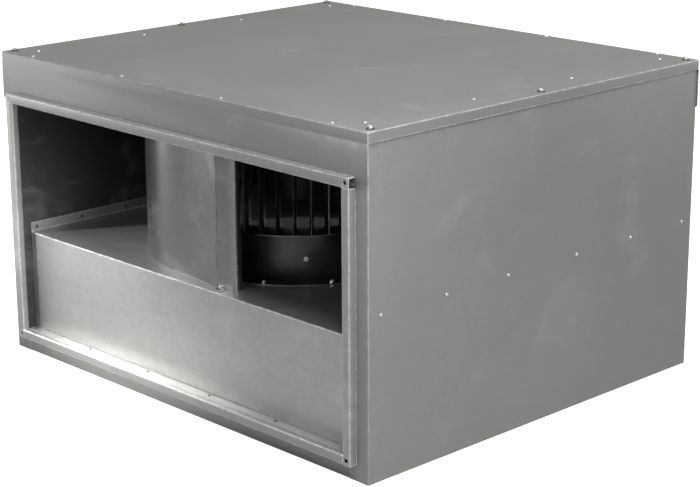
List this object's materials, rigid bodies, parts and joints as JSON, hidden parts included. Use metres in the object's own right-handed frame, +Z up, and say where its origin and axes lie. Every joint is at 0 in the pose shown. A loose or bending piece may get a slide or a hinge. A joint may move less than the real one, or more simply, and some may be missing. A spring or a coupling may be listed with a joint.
{
  "type": "inline duct fan",
  "caption": "Insulated sheet-steel inline duct fan with rectangular duct flanges, a shelf, a scroll and a forward-curved drum impeller that spins.",
  "frame": {"origin": "middle of the casing's underside, on its bottom panel", "axes": "+X across the casing to the right seen from the outlet, +Y from the outlet to the inlet, +Z up"},
  "size_m": [1.1609, 0.982, 0.6615],
  "materials": {
    "casing_steel": "satin",
    "flange_steel": "satin",
    "liner_steel": "satin",
    "shelf_steel": "satin",
    "scroll_steel": "satin",
    "impeller_steel": "satin",
    "wool": "matte",
    "foam": "matte",
    "washer_rubber": "matte",
    "zinc_screw": "satin",
    "rivet_metal": "satin",
    "rotor_paint": "satin",
    "lamination": "matte",
    "shaft_steel": "polished",
    "bearing_steel": "satin",
    "cast_alloy": "matte",
    "copper_wire": "satin",
    "box_plastic": "matte",
    "terminal_plastic": "matte",
    "gland_plastic": "matte",
    "grommet_rubber": "matte",
    "nipple_metal": "satin"
  },
  "bodies": {
    "casing": {"bottom_panel": "casing_steel", "left_side_panel": "casing_steel", "right_side_panel": "casing_steel", "left_liner": "liner_steel", "right_liner": "liner_steel", "floor_liner": "liner_steel", "left_stiffener": "liner_steel", "right_stiffener": "liner_steel", "left_insulation": "wool", "right_insulation": "wool", "floor_insulation": "wool", "side_rivets": "rivet_metal", "outlet_left_rail": "flange_steel", "outlet_right_rail": "flange_steel", "outlet_top_rail": "flange_steel", "outlet_bottom_rail": "flange_steel", "inlet_left_rail": "flange_steel", "inlet_right_rail": "flange_steel", "inlet_top_rail": "flange_steel", "inlet_bottom_rail": "flange_steel", "outlet_rivets": "rivet_metal", "inlet_rivets": "rivet_metal", "top_cover": "casing_steel", "cover_pan": "liner_steel", "cover_insulation": "wool", "cover_gasket": "foam", "cover_rivets": "rivet_metal", "cover_rivet_nuts": "zinc_screw", "cover_washers": "washer_rubber", "cover_bolts": "zinc_screw", "shelf_plate": "shelf_steel", "closing_plate": "liner_steel", "shelf_rivets": "rivet_metal", "scroll_wall": "scroll_steel", "tongue_plate": "scroll_steel", "scroll_top_plate": "scroll_steel", "scroll_brackets": "zinc_screw", "scroll_screws": "zinc_screw", "inlet_nozzle": "scroll_steel", "nozzle_screws": "zinc_screw", "measuring_nipple": "nipple_metal", "motor_bearings": "bearing_steel", "stator_flange": "cast_alloy", "stator_core": "lamination", "stator_windings": "copper_wire", "motor_bolts": "zinc_screw", "terminal_box": "box_plastic", "terminal_box_lid": "box_plastic", "terminal_lid_screws": "zinc_screw", "terminal_strip": "terminal_plastic", "cable_glands": "gland_plastic", "wall_grommet": "grommet_rubber"},
    "impeller": {"impeller_ring": "impeller_steel", "impeller_blades": "impeller_steel", "impeller_back_plate": "impeller_steel", "hub_rivets": "rivet_metal", "rotor_shell": "rotor_paint", "rotor_core": "lamination", "motor_shaft": "shaft_steel"}
  },
  "joints": [
    {"name": "impeller_spin", "type": "hinge", "parent": "casing", "child": "impeller", "pos_m": [0, -0.135, 0.45], "axis": [0, 0, 1], "continuous": true}
  ]
}
